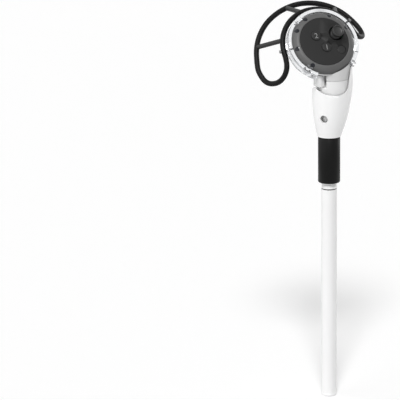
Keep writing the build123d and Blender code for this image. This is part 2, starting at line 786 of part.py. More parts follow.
def make_thumbstick():
    depth = stick_pivot_depth
    low = gimbal_bottom + depth
    high = gimbal_top + depth
    outer = block((-gimbal_half, gimbal_half), (-gimbal_half, gimbal_half), (low, high))
    half = gimbal_half - gimbal_wall
    base = outer - block((-half, half), (-half, half), (low + gimbal_wall, high))
    hinge_hole = Rot(0, 90, 0) * Cylinder(pivot_pin_radius + pivot_play, 4 * gimbal_half)
    base -= hinge_hole
    nodes["stick_base"] = to_head(on_stick(base))

    thick = yoke_half_thickness
    yoke = block((-yoke_half_length, yoke_half_length), (-yoke_half_width, yoke_half_width), (-thick, thick))
    yoke += Rot(0, 90, 0) * Cylinder(pivot_pin_radius, 2 * (gimbal_half - fit_gap))
    yoke -= block((-yoke_window, yoke_window), (-yoke_window, yoke_window), (-thick, thick))
    yoke -= Rot(90, 0, 0) * Cylinder(pivot_pin_radius + pivot_play, 4 * yoke_half_width)
    nodes["stick_yoke"] = to_head(on_stick(yoke))

    cap_low = stick_cap_top - stick_cap_thickness + depth
    cap_high = stick_cap_top + depth
    shaft_top = cap_high - shaft_cap_depth
    shaft = Sphere(pivot_ball_radius) + disc(stick_shaft_radius, -shaft_foot, shaft_top)
    shaft += Rot(90, 0, 0) * Cylinder(pivot_pin_radius, 2 * (yoke_half_width - fit_gap))
    nodes["stick_shaft"] = to_head(on_stick(shaft))

    boot = Sphere(boot_radius) - Sphere(boot_radius - boot_wall)
    keep_height = boot_radius * cos(radians(boot_half_angle))
    boot = boot & block((-far, far), (-far, far), (keep_height, far))
    boot -= disc(stick_shaft_radius + slip_gap, 0, far)
    nodes["stick_boot"] = to_head(on_stick(boot))

    cap = disc(stick_cap_radius, cap_low, cap_high)
    cap = fillet(cap.edges(), cap_rounding)
    cap -= Pos(0, 0, cap_high + cap_dish_radius - stick_cap_dish) * Sphere(cap_dish_radius)
    neck_low = boot_radius + stick_press_travel + cap_neck_gap
    cap += disc(stick_neck_radius, neck_low, cap_low + cap_neck_lap)
    cap -= disc(stick_shaft_radius + running_gap, 0, shaft_top + stick_press_travel + cap_bore_room)
    nodes["stick_cap"] = to_head(on_stick(cap))


# ---------------------------------------------------------------- trigger
def make_trigger():
    y, z = trigger_pivot
    left = trigger_middle - trigger_half_width
    side_plane = Plane(origin=(left, 0, 0), x_dir=(0, 1, 0), z_dir=(1, 0, 0))
    finger_side = Spline(*[(y + back, z + up) for back, up in trigger_finger_side])
    inner_side = Spline(*[(y + back, z + up) for back, up in trigger_inner_side])
    tip = ThreePointArc(finger_side @ 1, (y + trigger_tip[0], z + trigger_tip[1]), inner_side @ 0)
    top = ThreePointArc(inner_side @ 1, (y + trigger_crown[0], z + trigger_crown[1]), finger_side @ 0)
    face = make_face(finger_side + tip + inner_side + top)
    trigger = extrude(side_plane * face, 2 * trigger_half_width)
    pin_line = Plane(origin=(trigger_middle, y, z), z_dir=(1, 0, 0))
    trigger -= pin_line * Cylinder(trigger_pin_radius + running_gap, 4 * trigger_half_width)
    trigger -= pin_line * Cylinder(*trigger_spring_pocket)
    trigger -= to_head(head_keepout(head_clearance))
    nodes["trigger"] = max(trigger.solids(), key=lambda solid: solid.volume)

    inner_x = trigger_half_width + trigger_side_gap
    outer_x = inner_x + cheek_thickness
    cheeks = []
    for side in (-1, 1):
        xs = sorted((trigger_middle + side * inner_x, trigger_middle + side * outer_x))
        cheek = block(xs, (cheek_front + slip_gap, y + cheek_rear), (cheek_cut_low + slip_gap, z + cheek_top))
        cheek = fillet(cheek.edges().filter_by(Axis.X).sort_by(Axis.Y)[-2:], cheek_rounding)
        cheek -= to_head(head_keepout(slip_gap))
        cheek -= pin_line * Cylinder(trigger_pin_radius + press_gap, 6 * trigger_half_width)
        cheeks.append(max(cheek.solids(), key=lambda solid: solid.volume))
    nodes["trigger_cheeks"] = Compound(children=cheeks)
    nodes["trigger_pin"] = pin_line * Cylinder(trigger_pin_radius, 2 * outer_x)
    spring = coil(trigger_coil_radius, trigger_coil_pitch, trigger_coil_turns, coil_wire)
    half_length = trigger_coil_pitch * trigger_coil_turns / 2
    nodes["trigger_spring"] = pin_line * (Pos(0, 0, -half_length) * spring)


# ---------------------------------------------------------------- cradle ring and guard
def make_cradle():
    ring = cradle_body()
    blank = ring_profile()
    rod_start = cradle_inner_radius - cradle_wall
    rod_end = cradle_outer_radius + cradle_wall
    hook_low = cradle_front
    hook_top = hook_low + hook_thickness
    for angle in hook_angles:
        band = disc(cradle_outer_radius, hook_low, hook_top)
        band -= disc(ring_outer_radius - hook_reach, hook_low, hook_top)
        wedge = sector(far, angle - hook_half_angle, angle + hook_half_angle, hook_low, hook_top)
        clear_in, clear_up = hook_clearance
        ring += (band & wedge) - disc(ring_outer_radius - clear_in, hook_low, hook_low + clear_up)
    ring -= blank
    for angle in guard_screw_angles:
        ring -= radial_rod(guard_screw_radius, rod_start, rod_end, angle, guard_inner_level)
    screws = []
    for angle in cradle_screw_angles:
        ring -= radial_rod(guard_screw_radius, rod_start, rod_end, angle, cradle_screw_level)
        shank_end = cradle_outer_radius + cup_wall
        shank_start = cradle_inner_radius + screw_inset
        shank = radial_rod(guard_screw_radius, shank_start, shank_end, angle, cradle_screw_level)
        screws.append(shank)
    nodes["cradle_screws"] = to_head(Compound(children=screws))
    nodes["cradle_ring"] = to_head(max(ring.solids(), key=lambda solid: solid.volume))


def outer_point(angle, stretch=1.0):
    """Point of the guard's outer arc: it swells and drops back towards the left lobe."""
    swell = 1.0 + guard_swell * max(0.0, (angle - 120.0) / 70.0)
    x, y = polar(guard_outer_radius * swell * stretch, angle)
    return (x, y + guard_lift, guard_outer_level + guard_slope[0] * x + guard_slope[1] * y)


def lobe_corner(corner, radius):
    """Corner of a lobe from its shares of a radius and its level."""
    return (corner[0] * radius, corner[1] * radius, corner[2])


def guard_corners():
    """Corners of the guard's centre line in the head frame; arcs round them off."""
    stretch = 1 / cos(radians(guard_arc_step / 2))
    corners = []
    for index in range(guard_outer_corners):
        corners.append(outer_point(guard_arc_start + guard_arc_step * index, stretch))
    corners += [lobe_corner(corner, guard_outer_radius) for corner in left_lobe]
    corners.append(lobe_corner(left_join, guard_inner_radius))
    for index in range(guard_inner_corners):
        x, y = polar(guard_inner_radius * stretch, guard_inner_start - guard_arc_step * index)
        corners.append((x, y, guard_inner_level))
    corners.append(lobe_corner(right_join, guard_inner_radius))
    corners += [lobe_corner(corner, guard_outer_radius) for corner in right_lobe]
    return [Vector(*corner) for corner in corners]


def guard_path(corners):
    """Closed line with an arc at every corner, as large as its two runs allow."""
    radii = []
    count = len(corners)
    for index in range(count):
        before = corners[index] - corners[index - 1]
        after = corners[(index + 1) % count] - corners[index]
        turn = radians(before.get_angle(after))
        shorter = min(before.length, after.length)
        radii.append(0.45 * shorter / tan(turn / 2))
    return FilletPolyline(*corners, radius=radii, close=True)


def guard_tube(edges):
    line = Wire(edges)
    return sweep(Plane(origin=line @ 0, z_dir=line % 0) * Circle(guard_tube_radius), path=line)


def make_guard():
    edges = list(guard_path(guard_corners()).order_edges())
    half = len(edges) // 2
    loop = guard_tube(edges[:half]) + guard_tube(edges[half:])
    struts = []
    for angle in strut_angles:
        start = Vector(*polar(guard_inner_radius, angle), guard_inner_level)
        end = Vector(*outer_point(angle))
        along = end - start
        rod = Plane(origin=start, z_dir=along) * Cylinder(guard_strut_radius, along.length, align=low_align)
        rod -= loop
        struts.append(max(rod.solids(), key=lambda solid: solid.volume))
    screws = []
    head_low = guard_inner_radius + guard_tube_radius + guard_screw_stand
    head_high = head_low + guard_screw_head_height
    shank_start = cradle_inner_radius + screw_inset
    for angle in guard_screw_angles:
        hole_radius = guard_screw_radius + slip_gap
        loop -= radial_rod(hole_radius, cradle_inner_radius, head_high, angle, guard_inner_level)
        shank = radial_rod(guard_screw_radius, shank_start, head_low + screw_neck, angle, guard_inner_level)
        head = radial_rod(guard_screw_head_radius, head_low, head_high, angle, guard_inner_level)
        screws.append(shank + head)
    nodes["guard_frame"] = to_head(loop)
    nodes["guard_struts"] = to_head(Compound(children=struts))
    nodes["guard_screws"] = to_head(Compound(children=screws))


def main():
    make_stick()
    make_collar()
    make_cup()
    make_cup_liners()
    make_handle()
    make_grip_button()
    make_sensor_ring()
    make_face_plate()
    make_buttons()
    make_boards()
    make_head_housing()
    make_thumbstick()
    make_trigger()
    make_cradle()
    make_guard()
    os.makedirs("parts", exist_ok=True)
    for name, shape in nodes.items():
        export_step(shape, f"parts/{name}.step")
        print(name, len(shape.solids()), round(sum(solid.volume for solid in shape.solids()), 1))


main()
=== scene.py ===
import json
import math

import bmesh
import bpy
import numpy as np
from mathutils import Matrix, Vector


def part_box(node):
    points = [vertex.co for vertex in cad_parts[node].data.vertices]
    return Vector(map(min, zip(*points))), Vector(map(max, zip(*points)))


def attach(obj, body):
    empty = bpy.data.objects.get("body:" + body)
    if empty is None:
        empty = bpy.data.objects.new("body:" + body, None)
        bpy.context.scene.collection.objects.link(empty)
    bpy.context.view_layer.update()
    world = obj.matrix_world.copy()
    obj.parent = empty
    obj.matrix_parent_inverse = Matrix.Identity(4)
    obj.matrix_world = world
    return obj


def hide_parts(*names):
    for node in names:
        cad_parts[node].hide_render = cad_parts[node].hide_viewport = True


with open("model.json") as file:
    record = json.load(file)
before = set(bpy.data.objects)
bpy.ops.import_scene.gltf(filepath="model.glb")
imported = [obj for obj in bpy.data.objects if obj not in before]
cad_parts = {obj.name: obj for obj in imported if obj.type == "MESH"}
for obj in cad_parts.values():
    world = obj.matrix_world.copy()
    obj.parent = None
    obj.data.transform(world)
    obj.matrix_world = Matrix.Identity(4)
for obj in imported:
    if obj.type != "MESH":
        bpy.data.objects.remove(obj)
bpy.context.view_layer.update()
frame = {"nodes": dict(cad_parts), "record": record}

nodes = frame["nodes"]
mm = 0.001
print("frame loaded:", len(nodes), "nodes")

# the face of the head: its centre, and how far it leans back from facing straight out
face = {"side": (-8.0, -9.0), "overCup": 99.7, "tilt": 32.5}
faceTilt = math.radians(face["tilt"])
faceCentre = np.array((*face["side"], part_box("holder_cup")[0].z / mm + face["overCup"]))
faceUp = np.array((0.0, math.sin(faceTilt), math.cos(faceTilt)))
faceOut = np.array((0.0, -math.cos(faceTilt), math.sin(faceTilt)))


def onFace(points):
    # right, up and out of the face, in mm, to the part's frame in metres
    points = np.asarray(points, float)
    right = np.array((1.0, 0.0, 0.0))
    placed = faceCentre + points[..., :1] * right + points[..., 1:2] * faceUp + points[..., 2:] * faceOut
    return placed * mm


# words that build a shader
fineDetail = 3.0  # layers in the noise of a fine grain
edgeSamples = 4  # rays that feel for a rounded edge


class Value:
    # one shader socket; an expression on values adds its Math nodes
    def __init__(self, tree, socket):
        self.tree = tree
        self.socket = socket

    def node(self, kind, settings=None, inputs=None, output=0):
        made = self.tree.nodes.new(kind)
        for name, setting in (settings or {}).items():
            setattr(made, name, setting)
        for name, given in (inputs or {}).items():
            if isinstance(given, Value):
                self.tree.links.new(given.socket, made.inputs[name])
            else:
                made.inputs[name].default_value = given
        return Value(self.tree, made.outputs[output] if len(made.outputs) else None)

    def maths(self, operation, first, second=0.0):
        return self.node("ShaderNodeMath", {"operation": operation}, {0: first, 1: second})

    def __add__(self, other):
        return self.maths("ADD", self, other)

    def __sub__(self, other):
        return self.maths("SUBTRACT", self, other)

    def __rsub__(self, other):
        return self.maths("SUBTRACT", other, self)

    def __mul__(self, other):
        return self.maths("MULTIPLY", self, other)

    def __truediv__(self, other):
        return self.maths("DIVIDE", self, other)

    __radd__ = __add__
    __rmul__ = __mul__


def grey(shade):
    return (shade, shade, shade, 1.0) if isinstance(shade, float) else (*shade, 1.0)


def blendColours(share, first, second):
    # first where share is 0, second where it is 1
    ends = [end if isinstance(end, Value) else grey(end) for end in (first, second)]
    return share.node("ShaderNodeMix", {"data_type": "RGBA"}, {0: share, 6: ends[0], 7: ends[1]}, 2)


def step(value, low, high):
    # 0 below low, 1 above high, and smooth between them
    settings = {"interpolation_type": "SMOOTHSTEP", "clamp": True}
    return value.node("ShaderNodeMapRange", settings, {"Value": value, "From Min": low, "From Max": high})


def noise(place, size, detail=2.0):
    # soft noise from 0 to 1, with lumps about size millimetres across
    inputs = {"Vector": place, "Scale": 1.0 / (size * mm), "Detail": detail}
    return place.node("ShaderNodeTexNoise", {}, inputs)


def axisOf(place, axis):
    return place.node("ShaderNodeSeparateXYZ", {}, {"Vector": place}, axis)


def facePlace(place):
    # the same point, seen from the face: right, up, out
    turn = (math.pi / 2 - faceTilt, 0.0, 0.0)
    inputs = {"Vector": place, "Location": tuple(faceCentre * mm), "Rotation": turn}
    return place.node("ShaderNodeMapping", {"vector_type": "TEXTURE"}, inputs)


def fromFaceAxis(place):
    # distance from the line through the face's centre, in mm
    seen = facePlace(place)
    right = axisOf(seen, 0)
    up = axisOf(seen, 1)
    return seen.maths("SQRT", right * right + up * up) * (1 / mm)


def startMaterial(name):
    material = bpy.data.materials.new(name)
    material.use_nodes = True
    tree = material.node_tree
    tree.nodes.clear()
    return material, Value(tree, None).node("ShaderNodeTexCoord", output="Object")


def endMaterial(material, place, sockets):
    shader = place.node("ShaderNodeBsdfPrincipled", {}, sockets)
    place.node("ShaderNodeOutputMaterial", {}, {"Surface": shader})
    return material


def relief(place, height, depth, edge):
    # a bump of that depth in mm, on edges that look rounded by that radius in mm
    rounded = place.node("ShaderNodeBevel", {"samples": edgeSamples}, {"Radius": edge * mm}) if edge else None
    inputs = {"Height": height, "Distance": depth * mm, "Strength": 1.0}
    if rounded:
        inputs["Normal"] = rounded
    return place.node("ShaderNodeBump", {}, inputs)


# moulded plastics, paints, rubbers and metals: two shades that cloud into each other, a grain that
# roughens them, and a rounded edge; cloud, grain, depth and edge in mm
finishColumns = ("shades", "rough", "cloud", "grain", "depth", "edge", "sheen")
finishes = {
    "white_tube": ((0.84, 0.86), (0.30, 0.38), 30.0, 0.5, 0.003, 0.3, 0.5),
    "white_shell": ((0.90, 0.92), (0.20, 0.28), 25.0, 0.9, 0.003, 0.45, 0.5),
    "white_body": ((0.78, 0.82), (0.26, 0.36), 18.0, 0.35, 0.004, 0.35, 0.5),
    # pale_shroud: painted shade, the neck shroud's white is made greyer than the handle body's to stand in
    # for the shade under the sensor ring
    "pale_shroud": ((0.59, 0.64), (0.12, 0.20), 18.0, 0.35, 0.003, 0.35, 0.5),
    "black_collar": ((0.005, 0.008), (0.36, 0.44), 12.0, 0.25, 0.006, 0.35, 0.1),
    "black_guard": ((0.006, 0.009), (0.38, 0.48), 16.0, 0.3, 0.008, 0.0, 0.10),
    "grey_strut": ((0.022, 0.032), (0.40, 0.50), 10.0, 0.3, 0.006, 0.2, 0.2),
    "black_face": ((0.008, 0.011), (0.50, 0.60), 22.0, 0.22, 0.008, 0.25, 0.25),
    "black_button": ((0.009, 0.013), (0.34, 0.44), 9.0, 0.25, 0.006, 0.2, 0.3),
    "black_rubber": ((0.011, 0.016), (0.36, 0.46), 6.0, 0.2, 0.012, 0.0, 0.4),
    "dark_seal": ((0.012, 0.018), (0.55, 0.68), 4.0, 0.3, 0.010, 0.0, 0.3),
    "foam_pad": ((0.030, 0.050), (0.85, 0.95), 3.0, 0.6, 0.120, 0.4, 0.2),
    "grey_chassis": ((0.10, 0.13), (0.45, 0.58), 14.0, 0.4, 0.010, 0.2, 0.5),
    "chip": ((0.010, 0.018), (0.40, 0.55), 3.0, 0.2, 0.006, 0.1, 0.5),
    "battery_wrap": ((0.030, 0.045), (0.22, 0.32), 12.0, 0.6, 0.010, 0.3, 0.5),
    "milky_lens": ((0.84, 0.90), (0.25, 0.35), 2.0, 0.3, 0.004, 0.2, 0.5),
    "dark_screw": ((0.22, 0.30), (0.30, 0.42), 2.0, 0.2, 0.006, 0.15, 0.5),
}
finishes = {name: dict(zip(finishColumns, look)) for name, look in finishes.items()}
metals = {
    "steel": {"shades": (0.48, 0.62), "rough": (0.20, 0.36), "grain": 0.25, "depth": 0.004, "edge": 0.1},
    "switch_metal": {
        "shades": (0.55, 0.68), "rough": (0.26, 0.38), "grain": 0.3, "depth": 0.004, "edge": 0.1,
    },
    "contact_metal": {
        "shades": ((0.62, 0.47, 0.20), (0.75, 0.60, 0.30)), "rough": (0.18, 0.30),
        "grain": 0.3, "depth": 0.003, "edge": 0.08,
    },
}
drawnGrain = {"stretch": 0.08, "detail": 4.0}  # a metal's grain changes this much slower along its length


def plasticFinish(name, look):
    material, place = startMaterial(name)
    cloud = noise(place, look["cloud"])
    grain = noise(place, look["grain"], fineDetail)
    lowRough, highRough = look["rough"]
    sockets = {
        "Base Color": blendColours(cloud, *look["shades"]),
        "Roughness": lowRough + grain * (highRough - lowRough),
        "Normal": relief(place, grain, look["depth"], look["edge"]),
        "Specular IOR Level": look["sheen"],
    }
    return endMaterial(material, place, sockets)


def metalFinish(name, look):
    material, place = startMaterial(name)
    drawn = place.node("ShaderNodeMapping", {}, {"Vector": place, "Scale": (1.0, 1.0, drawnGrain["stretch"])})
    lines = noise(drawn, look["grain"], drawnGrain["detail"])
    lowRough, highRough = look["rough"]
    sockets = {
        "Base Color": blendColours(lines, *look["shades"]),
        "Metallic": 1.0,
        "Roughness": lowRough + lines * (highRough - lowRough),
        "Normal": relief(place, lines, look["depth"], look["edge"]),
    }
    return endMaterial(material, place, sockets)


# sensor ring tones: the paler inner slope is a painted highlight and the darker rim is painted shade
sensorBand = {
    "inner": 25.6, "bright": 26.6, "fade": 30.0, "outer": 33.0, "shades": (0.125, 0.105, 0.085),
    "rough": 0.42, "roughSpan": 0.08, "grain": 0.3, "depth": 0.006, "edge": 0.3, "sheen": 0.3,
}


def sensorRingPaintedLightFinish(name, look):
    # smoky plastic with painted light: a painted highlight makes it palest on its inner slope, and painted
    # shade darkens it towards the rim
    material, place = startMaterial(name)
    reach = fromFaceAxis(place)
    grain = noise(place, look["grain"], fineDetail)
    inside = blendColours(step(reach, look["inner"], look["bright"]), look["shades"][0], look["shades"][1])
    sockets = {
        "Base Color": blendColours(step(reach, look["fade"], look["outer"]), inside, look["shades"][2]),
        "Roughness": look["rough"] + grain * look["roughSpan"],
        "Normal": relief(place, grain, look["depth"], look["edge"]),
        "Specular IOR Level": look["sheen"],
    }
    return endMaterial(material, place, sockets)


lensLook = {
    "rim": (0.008, 0.009, 0.012), "middle": (0.014, 0.015, 0.022), "cloud": 3.0,
    "rough": 0.16, "roughSpan": 0.06, "depth": 0.01, "edge": 0.2, "sheen": 0.25,
}


def lensFinish(name, look):
    # near-black window that lets infrared through, a little clearer where it is thin
    material, place = startMaterial(name)
    cloud = noise(place, look["cloud"])
    sockets = {
        "Base Color": blendColours(cloud, look["rim"], look["middle"]),
        "Roughness": look["rough"] + cloud * look["roughSpan"],
        "Normal": relief(place, cloud, look["depth"], look["edge"]),
        "Specular IOR Level": look["sheen"],
    }
    return endMaterial(material, place, sockets)


clearLook = {
    "shades": ((0.87, 0.88, 0.89), (0.83, 0.84, 0.86)), "haze": 9.0,
    "rough": 0.04, "roughSpan": 0.05, "bend": 1.4,
}


def clearFinish(name, look):
    # clear moulding, a little duller where the mould was worn
    material, place = startMaterial(name)
    haze = noise(place, look["haze"])
    sockets = {
        "Base Color": blendColours(haze, *look["shades"]),
        "Roughness": look["rough"] + haze * look["roughSpan"],
        "Transmission Weight": 1.0,
        "IOR": look["bend"],
    }
    return endMaterial(material, place, sockets)


emitterLook = {
    "body": (0.72, 0.76, 0.84), "die": (0.95, 0.90, 0.70), "cloud": 1.2, "dieShare": (0.55, 0.7),
    "rough": 0.12, "roughSpan": 0.1, "depth": 0.01, "edge": 0.15,
}


def emitterFinish(name, look):
    # water-clear epoxy with its small warm die showing through
    material, place = startMaterial(name)
    cloud = noise(place, look["cloud"])
    sockets = {
        "Base Color": blendColours(step(cloud, *look["dieShare"]), look["body"], look["die"]),
        "Roughness": look["rough"] + cloud * look["roughSpan"],
        "Normal": relief(place, cloud, look["depth"], look["edge"]),
    }
    return endMaterial(material, place, sockets)


boardLook = {
    "mask": (0.010, 0.085, 0.035), "track": (0.030, 0.180, 0.070), "pitch": 1.6, "trackShare": (0.04, 0.10),
    "rough": 0.35, "roughSpan": -0.1, "depth": 0.03, "edge": 0.1,
}


def boardFinish(name, look):
    # solder mask, paler over the copper tracks, which run in cells
    material, place = startMaterial(name)
    seen = facePlace(place)
    cells = {"feature": "DISTANCE_TO_EDGE"}
    edge = place.node("ShaderNodeTexVoronoi", cells, {"Vector": seen, "Scale": 1.0 / (look["pitch"] * mm)})
    track = 1.0 - step(edge, *look["trackShare"])
    sockets = {
        "Base Color": blendColours(track, look["mask"], look["track"]),
        "Roughness": look["rough"] + track * look["roughSpan"],
        "Normal": relief(place, track, look["depth"], look["edge"]),
    }
    return endMaterial(material, place, sockets)


flexLook = {
    "film": (0.42, 0.20, 0.045), "track": (0.62, 0.36, 0.12), "pitch": 0.8, "trackShare": (0.2, 0.6),
    "rough": 0.30, "roughSpan": -0.08, "depth": 0.02,
}


def flexFinish(name, look):
    # amber film with two rings of copper under it
    material, place = startMaterial(name)
    reach = fromFaceAxis(place)
    wave = place.maths("SINE", reach * (2 * math.pi / look["pitch"]))
    track = step(wave, *look["trackShare"])
    sockets = {
        "Base Color": blendColours(track, look["film"], look["track"]),
        "Roughness": look["rough"] + track * look["roughSpan"],
        "Normal": relief(place, track, look["depth"], 0.0),
    }
    return endMaterial(material, place, sockets)


materials = {name: plasticFinish(name, look) for name, look in finishes.items()}
materials.update({name: metalFinish(name, look) for name, look in metals.items()})
materials["smoke_ring"] = sensorRingPaintedLightFinish("smoke_ring", sensorBand)
materials["dark_window"] = lensFinish("dark_window", lensLook)
materials["clear_ring"] = clearFinish("clear_ring", clearLook)
materials["emitter"] = emitterFinish("emitter", emitterLook)
materials["circuit_board"] = boardFinish("circuit_board", boardLook)
materials["flex_film"] = flexFinish("flex_film", flexLook)
print("materials:", len(materials))

slotOf = {part["node"]: part["material_slot"] for part in frame["record"]["subparts"]}
bodyOf = {}
for body, members in frame["record"]["behaviour"]["bodies"].items():
    for member in members:
        bodyOf[member] = body
for name, obj in nodes.items():
    obj.data.materials.clear()
    obj.data.materials.append(materials[slotOf[name]])


# words that make a piece
samePlace = 1e-7  # corners closer than this, in metres, are one


def wearSurface(obj, material):
    obj.data.materials.clear()
    obj.data.materials.append(material)
    return obj


def gridPiece(name, points, closeAlong=False):
    # points is rows x columns x 3, in metres; each cell of the grid becomes a face, and a row of
    # equal points becomes a pole
    rows, columns = points.shape[:2]
    row, column = np.meshgrid(np.arange(rows if closeAlong else rows - 1), np.arange(columns), indexing="ij")
    nextRow, nextColumn = (row + 1) % rows, (column + 1) % columns
    near, far = row * columns, nextRow * columns
    faces = np.stack([near + column, near + nextColumn, far + nextColumn, far + column], axis=-1)
    mesh = bpy.data.meshes.new(name)
    mesh.from_pydata(points.reshape(-1, 3).tolist(), [], faces.reshape(-1, 4).tolist())
    shape = bmesh.new()
    shape.from_mesh(mesh)
    bmesh.ops.remove_doubles(shape, verts=shape.verts, dist=samePlace)
    bmesh.ops.recalc_face_normals(shape, faces=shape.faces)
    shape.to_mesh(mesh)
    shape.free()
    mesh.polygons.foreach_set("use_smooth", np.ones(len(mesh.polygons), bool))
    mesh.update()
    obj = bpy.data.objects.new(name, mesh)
    bpy.context.scene.collection.objects.link(obj)
    return obj


def dress(obj, body, slotName, *replaced):
    wearSurface(obj, materials[slotName])
    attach(obj, body)
    if replaced:
        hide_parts(*replaced)
    return obj


smoothing = {"weld": 0.00001, "angle": 32.0}


def smoothCopy(name, node):
    # the CAD piece itself, with its loose triangles joined and its curved faces shaded smooth
    obj = bpy.data.objects.new(name, nodes[node].data.copy())
    bpy.context.scene.collection.objects.link(obj)
    weld = obj.modifiers.new("weld", "WELD")
    weld.merge_threshold = smoothing["weld"]
    bpy.context.view_layer.update()
    shape = obj.evaluated_get(bpy.context.evaluated_depsgraph_get())
    mesh = bpy.data.meshes.new_from_object(shape)
    obj.modifiers.clear()
    obj.data = mesh
    obj.data.shade_smooth()
    obj.data.set_sharp_from_angle(angle=math.radians(smoothing["angle"]))
    return dress(obj, bodyOf[node], slotOf[node], node)


# guard: a tube along a closed quadratic curve through the guard's corners

guard = {
    "tube": 2.75, "sides": 28, "steps": 14, "stride": 23.0,
    "outer": {
        "radius": 56.0, "start": 26.0, "corners": 8, "lift": 1.4, "level": -38.0, "slope": (0.077, -0.023),
    },
    "swell": {"share": 0.07, "from": 120.0, "over": 70.0},
    "inner": {"radius": 39.9, "start": 177.0, "corners": 7, "level": -13.0},
    "left": (
        (-59.6, -14.5, -42.0), (-54.6, -26.2, -40.0), (-45.5, -30.2, -30.0), (-40.0, -25.2, -18.5),
        (-38.0, -14.7, -14.0),
    ),
    "right": ((38.6, 11.6, -15.0), (46.0, 10.6, -23.5), (53.6, 14.2, -31.5)),
}


def guardCorners(look):
    # outer arc, left lobe, inner arc, right lobe: right, up and out of the face in mm; an arc's corners
    # stand outside it, so that its curve touches the arc between them
    outer, inner, swell = look["outer"], look["inner"], look["swell"]
    stride = math.radians(look["stride"])
    angle = math.radians(outer["start"]) + stride * np.arange(outer["corners"])
    grown = 1.0 + swell["share"] * np.maximum(0.0, (np.degrees(angle) - swell["from"]) / swell["over"])
    radius = outer["radius"] * grown / math.cos(stride / 2)
    x, y = radius * np.cos(angle), radius * np.sin(angle)
    level = outer["level"] + outer["slope"][0] * x + outer["slope"][1] * y
    outerArc = np.stack([x, y + outer["lift"], level], axis=1)
    angle = math.radians(inner["start"]) - stride * np.arange(inner["corners"])
    radius = inner["radius"] / math.cos(stride / 2)
    level = np.full(inner["corners"], inner["level"])
    innerArc = np.stack([radius * np.cos(angle), radius * np.sin(angle), level], axis=1)
    return np.concatenate([outerArc, look["left"], innerArc, look["right"]])


def closedCurve(corners, steps):
    # each corner bends the line from the middle of one run to the middle of the next
    share = (np.arange(steps) / steps)[None, :, None]
    before = ((corners + np.roll(corners, 1, axis=0)) / 2)[:, None]
    after = ((corners + np.roll(corners, -1, axis=0)) / 2)[:, None]
    curve = (1 - share) ** 2 * before + 2 * share * (1 - share) * corners[:, None] + share**2 * after
    return curve.reshape(-1, 3)


def tubeAlong(line, radius, sides):
    # a circle carried along a closed line, kept level by the face's own out direction
    along = np.roll(line, -1, axis=0) - np.roll(line, 1, axis=0)
    along /= np.linalg.norm(along, axis=1, keepdims=True)
    side = np.cross(along, faceOut)
    side /= np.linalg.norm(side, axis=1, keepdims=True)
    up = np.cross(side, along)
    turn = 2 * math.pi * np.arange(sides) / sides
    ring = np.cos(turn)[None, :, None] * side[:, None] + np.sin(turn)[None, :, None] * up[:, None]
    return line[:, None] + radius * ring


guardLine = onFace(closedCurve(guardCorners(guard), guard["steps"]))
guardPoints = tubeAlong(guardLine, guard["tube"] * mm, guard["sides"])
guardTube = gridPiece("guard_tube", guardPoints, closeAlong=True)
dress(guardTube, bodyOf["guard_frame"], "black_guard", "guard_frame")
print("guard tube:", len(guardTube.data.polygons), "faces")

# stick: a turned sleeve with shallow rings

sleeve = {"radius": 8.0, "wall": 1.2, "pitch": 4.2, "groove": 0.07, "width": 0.35, "rows": 760, "columns": 96}


def ringedSleeve(look):
    # radius is constant, less a narrow dip at every pitch; the last row runs back down the bore
    low, high = (corner.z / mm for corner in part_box("shaft_tube"))
    level = np.linspace(low, high, look["rows"])
    phase = (level - low) / look["pitch"]
    away = np.abs(phase - np.round(phase)) * look["pitch"]
    radius = look["radius"] - look["groove"] * np.exp(-((away / (look["width"] / 2)) ** 2))
    bore = look["radius"] - look["wall"]
    radius = np.concatenate([[bore], radius, [bore]])
    level = np.concatenate([[low], level, [high]])
    turn = 2 * math.pi * np.arange(look["columns"]) / look["columns"]
    x = radius[:, None] * np.cos(turn)
    y = radius[:, None] * np.sin(turn)
    z = np.repeat(level[:, None], look["columns"], axis=1)
    return np.stack([x, y, z], axis=-1) * mm


sleeveTube = gridPiece("ringed_sleeve", ringedSleeve(sleeve), closeAlong=True)
dress(sleeveTube, bodyOf["shaft_tube"], "white_tube", "shaft_tube")
print("sleeve:", len(sleeveTube.data.polygons), "faces")

# thumbstick cap: turned profile with fine ribs round its rim and a dished top

stickCap = {
    "at": (13.4, 7.5), "radius": 6.2, "top": 8.0, "thick": 3.2, "dish": 1.2, "neck": 3.1, "neckLow": 2.4,
    "bore": 1.7, "boreTop": 6.3, "ribs": 36, "rib": 0.12, "rows": 91, "columns": 288,
}


